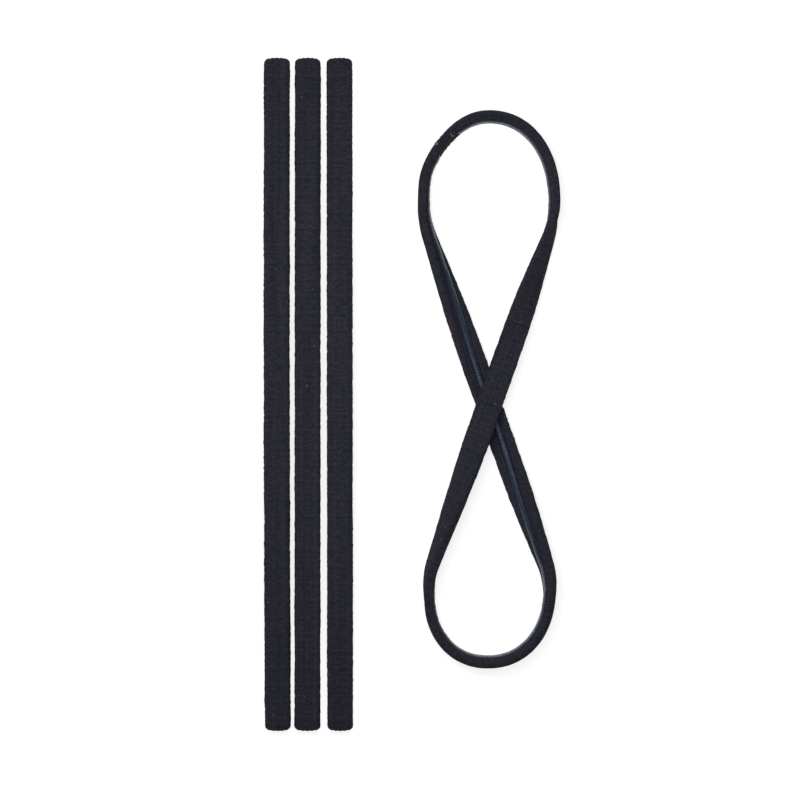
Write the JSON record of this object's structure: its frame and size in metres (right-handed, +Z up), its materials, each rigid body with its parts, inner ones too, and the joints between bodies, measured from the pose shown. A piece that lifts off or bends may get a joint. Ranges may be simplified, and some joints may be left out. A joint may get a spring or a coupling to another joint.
{
  "type": "sports headband set",
  "caption": "Narrow elastic sports headbands: knitted sheaths round rubber cords with a silicone grip strip inside and a sewn lap, laid out folded flat and as a figure eight.",
  "frame": {"origin": "on the resting plane, under the middle of the whole set's outline", "axes": "+Y runs along the bands, towards their sewn laps; +X runs from the first folded band to the figure eight; +Z is up, away from the resting plane"},
  "size_m": [0.1105, 0.252, 0.011],
  "materials": {
    "knit_sheath": "fine ribbed knit, matt, near-black navy",
    "rubber_cord": "matt natural rubber",
    "silicone_grip": "glossy silicone, dark blue",
    "lap_thread": "matt polyester thread"
  },
  "bodies": {
    "band_1_near": {"band_1_sheath_near": "knit_sheath", "band_1_cords_near": "rubber_cord", "band_1_grip_near": "silicone_grip"},
    "band_1_far": {"band_1_sheath_far_over": "knit_sheath", "band_1_sheath_far_under": "knit_sheath", "band_1_cords_far": "rubber_cord", "band_1_grip_far": "silicone_grip", "band_1_lap_stitches": "lap_thread"},
    "band_2_near": {"band_2_sheath_near": "knit_sheath", "band_2_cords_near": "rubber_cord", "band_2_grip_near": "silicone_grip"},
    "band_2_far": {"band_2_sheath_far_over": "knit_sheath", "band_2_sheath_far_under": "knit_sheath", "band_2_cords_far": "rubber_cord", "band_2_grip_far": "silicone_grip", "band_2_lap_stitches": "lap_thread"},
    "band_3_near": {"band_3_sheath_near": "knit_sheath", "band_3_cords_near": "rubber_cord", "band_3_grip_near": "silicone_grip"},
    "band_3_far": {"band_3_sheath_far_over": "knit_sheath", "band_3_sheath_far_under": "knit_sheath", "band_3_cords_far": "rubber_cord", "band_3_grip_far": "silicone_grip", "band_3_lap_stitches": "lap_thread"},
    "band_4_near": {"band_4_sheath_near": "knit_sheath", "band_4_cords_near": "rubber_cord", "band_4_grip_near": "silicone_grip"},
    "band_4_far": {"band_4_sheath_far_over": "knit_sheath", "band_4_sheath_far_under": "knit_sheath", "band_4_cords_far": "rubber_cord", "band_4_grip_far": "silicone_grip", "band_4_lap_stitches": "lap_thread"}
  },
  "joints": [
    {"name": "band_1_lift", "type": "slide", "parent": "band_4_near", "child": "band_1_near", "axis": [0, 0, 1], "range_m": [0, 0.06]},
    {"name": "band_2_lift", "type": "slide", "parent": "band_4_near", "child": "band_2_near", "axis": [0, 0, 1], "range_m": [0, 0.06]},
    {"name": "band_3_lift", "type": "slide", "parent": "band_4_near", "child": "band_3_near", "axis": [0, 0, 1], "range_m": [0, 0.06]},
    {"name": "band_1_stretch", "type": "slide", "parent": "band_1_near", "child": "band_1_far", "axis": [0, 1, 0], "range_m": [0, 0.1], "stiffness_N_per_m": 60},
    {"name": "band_2_stretch", "type": "slide", "parent": "band_2_near", "child": "band_2_far", "axis": [0, 1, 0], "range_m": [0, 0.1], "stiffness_N_per_m": 60},
    {"name": "band_3_stretch", "type": "slide", "parent": "band_3_near", "child": "band_3_far", "axis": [0, 1, 0], "range_m": [0, 0.1], "stiffness_N_per_m": 60},
    {"name": "band_4_stretch", "type": "slide", "parent": "band_4_near", "child": "band_4_far", "axis": [0, 1, 0], "range_m": [0, 0.085], "stiffness_N_per_m": 60}
  ]
}
